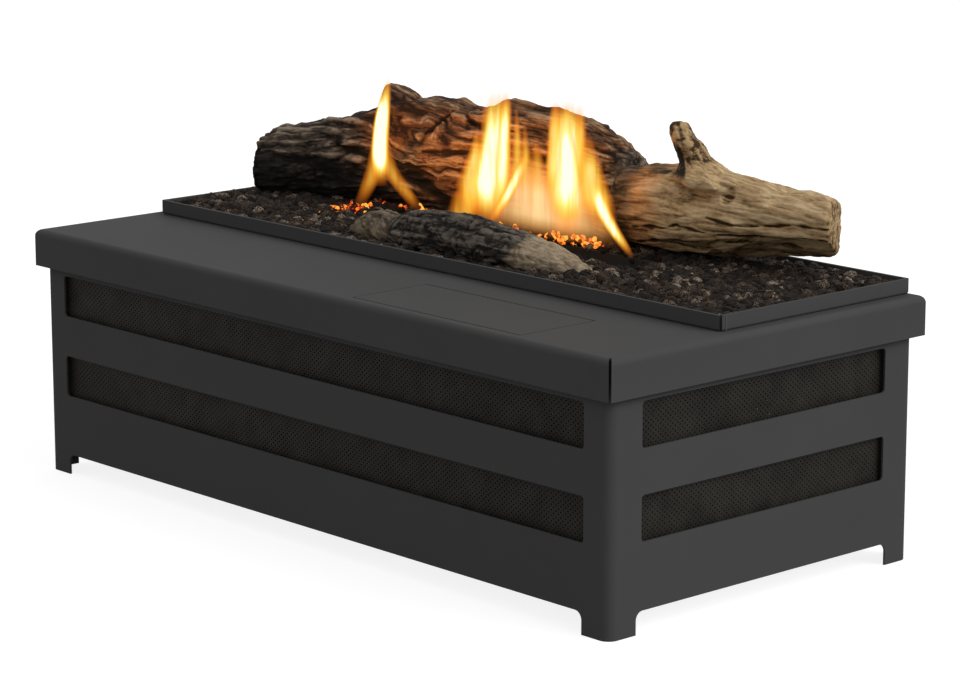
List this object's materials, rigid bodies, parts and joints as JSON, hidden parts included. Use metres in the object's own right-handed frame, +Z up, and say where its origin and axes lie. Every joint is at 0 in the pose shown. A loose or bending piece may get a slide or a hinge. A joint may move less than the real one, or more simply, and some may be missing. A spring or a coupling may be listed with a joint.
{
  "type": "bioethanol fire basket",
  "caption": "free-standing bioethanol fire basket: folded steel casing with meshed air slots, flush filler hatch, wick burner, and a tray of lava chips and ceramic logs",
  "frame": {"origin": "on the floor under the middle of the casing", "axes": "+X to the right along the front, +Y from front to rear, +Z up"},
  "size_m": [0.64, 0.312, 0.2995],
  "materials": {
    "powder_coat": "fine textured anthracite powder coat",
    "mesh_metal": "black coated expanded steel",
    "galvanised_sheet": "dull galvanised sheet",
    "stainless": "brushed stainless steel",
    "zinc_screw": "bright zinc plate",
    "brass_fitting": "turned brass",
    "cap_plastic": "matt black heat-proof moulding",
    "knob_black": "matt black heat-proof moulding",
    "seal_rubber": "fuel-proof rubber",
    "wick_fibre": "white ceramic fibre",
    "lava_chips": "dull brown-black lava chips",
    "ceramic_log_dark": "matt charred bark, painted by hand",
    "ceramic_log_tan": "matt tan bark with dark grooves"
  },
  "bodies": {
    "casing": {"body_wrapper": "powder_coat", "rear_panel": "powder_coat", "lid": "powder_coat", "lid_clips": "powder_coat", "corner_brackets": "powder_coat", "ember_tray": "powder_coat", "mesh_front": "mesh_metal", "mesh_rear": "mesh_metal", "mesh_left": "mesh_metal", "mesh_right": "mesh_metal", "mesh_spacer_front": "mesh_metal", "mesh_spacer_rear": "mesh_metal", "mesh_spacer_left": "mesh_metal", "mesh_spacer_right": "mesh_metal", "base_plate": "galvanised_sheet", "heat_shield": "galvanised_sheet", "filler_well": "stainless", "hinge_plates": "stainless", "tank_pan": "stainless", "tank_cover": "stainless", "filler_neck": "stainless", "burner_trough": "stainless", "burner_top": "stainless", "burner_mouth": "stainless", "shutter_rails": "stainless", "wick_gauze": "stainless", "tank_screws": "zinc_screw", "fuel_pipe": "brass_fitting", "pipe_unions": "brass_fitting", "rod_bush": "brass_fitting", "wick_pad": "wick_fibre", "chip_bed": "lava_chips", "loose_chips": "lava_chips"},
    "hatch": {"hatch": "powder_coat", "hatch_pins": "stainless"},
    "filler_cap": {"filler_cap": "cap_plastic", "cap_gasket": "seal_rubber", "dipstick": "stainless"},
    "shutter": {"shutter_plate": "stainless", "shutter_rod": "stainless", "rod_nuts": "zinc_screw", "shutter_knob": "knob_black"},
    "rear_log": {"rear_log": "ceramic_log_dark"},
    "right_log": {"right_log": "ceramic_log_tan"},
    "front_log": {"front_log": "ceramic_log_dark"},
    "small_log": {"small_log": "ceramic_log_tan"}
  },
  "joints": [
    {"name": "hatch_tip", "type": "hinge", "parent": "casing", "child": "hatch", "pos_m": [0.1385, -0.0975, 0.1865], "axis": [-1, 0, 0], "range_deg": [0, 95]},
    {"name": "filler_cap_turn", "type": "hinge", "parent": "casing", "child": "filler_cap", "pos_m": [0.185, -0.1175, 0.165], "axis": [0, 0, 1], "range_deg": [0, 90]},
    {"name": "shutter_slide", "type": "slide", "parent": "casing", "child": "shutter", "axis": [0, 1, 0], "range_m": [0, 0.048]},
    {"name": "rear_log_lift", "type": "slide", "parent": "casing", "child": "rear_log", "axis": [0, 0, 1], "range_m": [0, 0.12]},
    {"name": "right_log_lift", "type": "slide", "parent": "casing", "child": "right_log", "axis": [0, 0, 1], "range_m": [0, 0.12]},
    {"name": "front_log_lift", "type": "slide", "parent": "casing", "child": "front_log", "axis": [0, 0, 1], "range_m": [0, 0.12]},
    {"name": "small_log_lift", "type": "slide", "parent": "casing", "child": "small_log", "axis": [0, 0, 1], "range_m": [0, 0.12]}
  ]
}
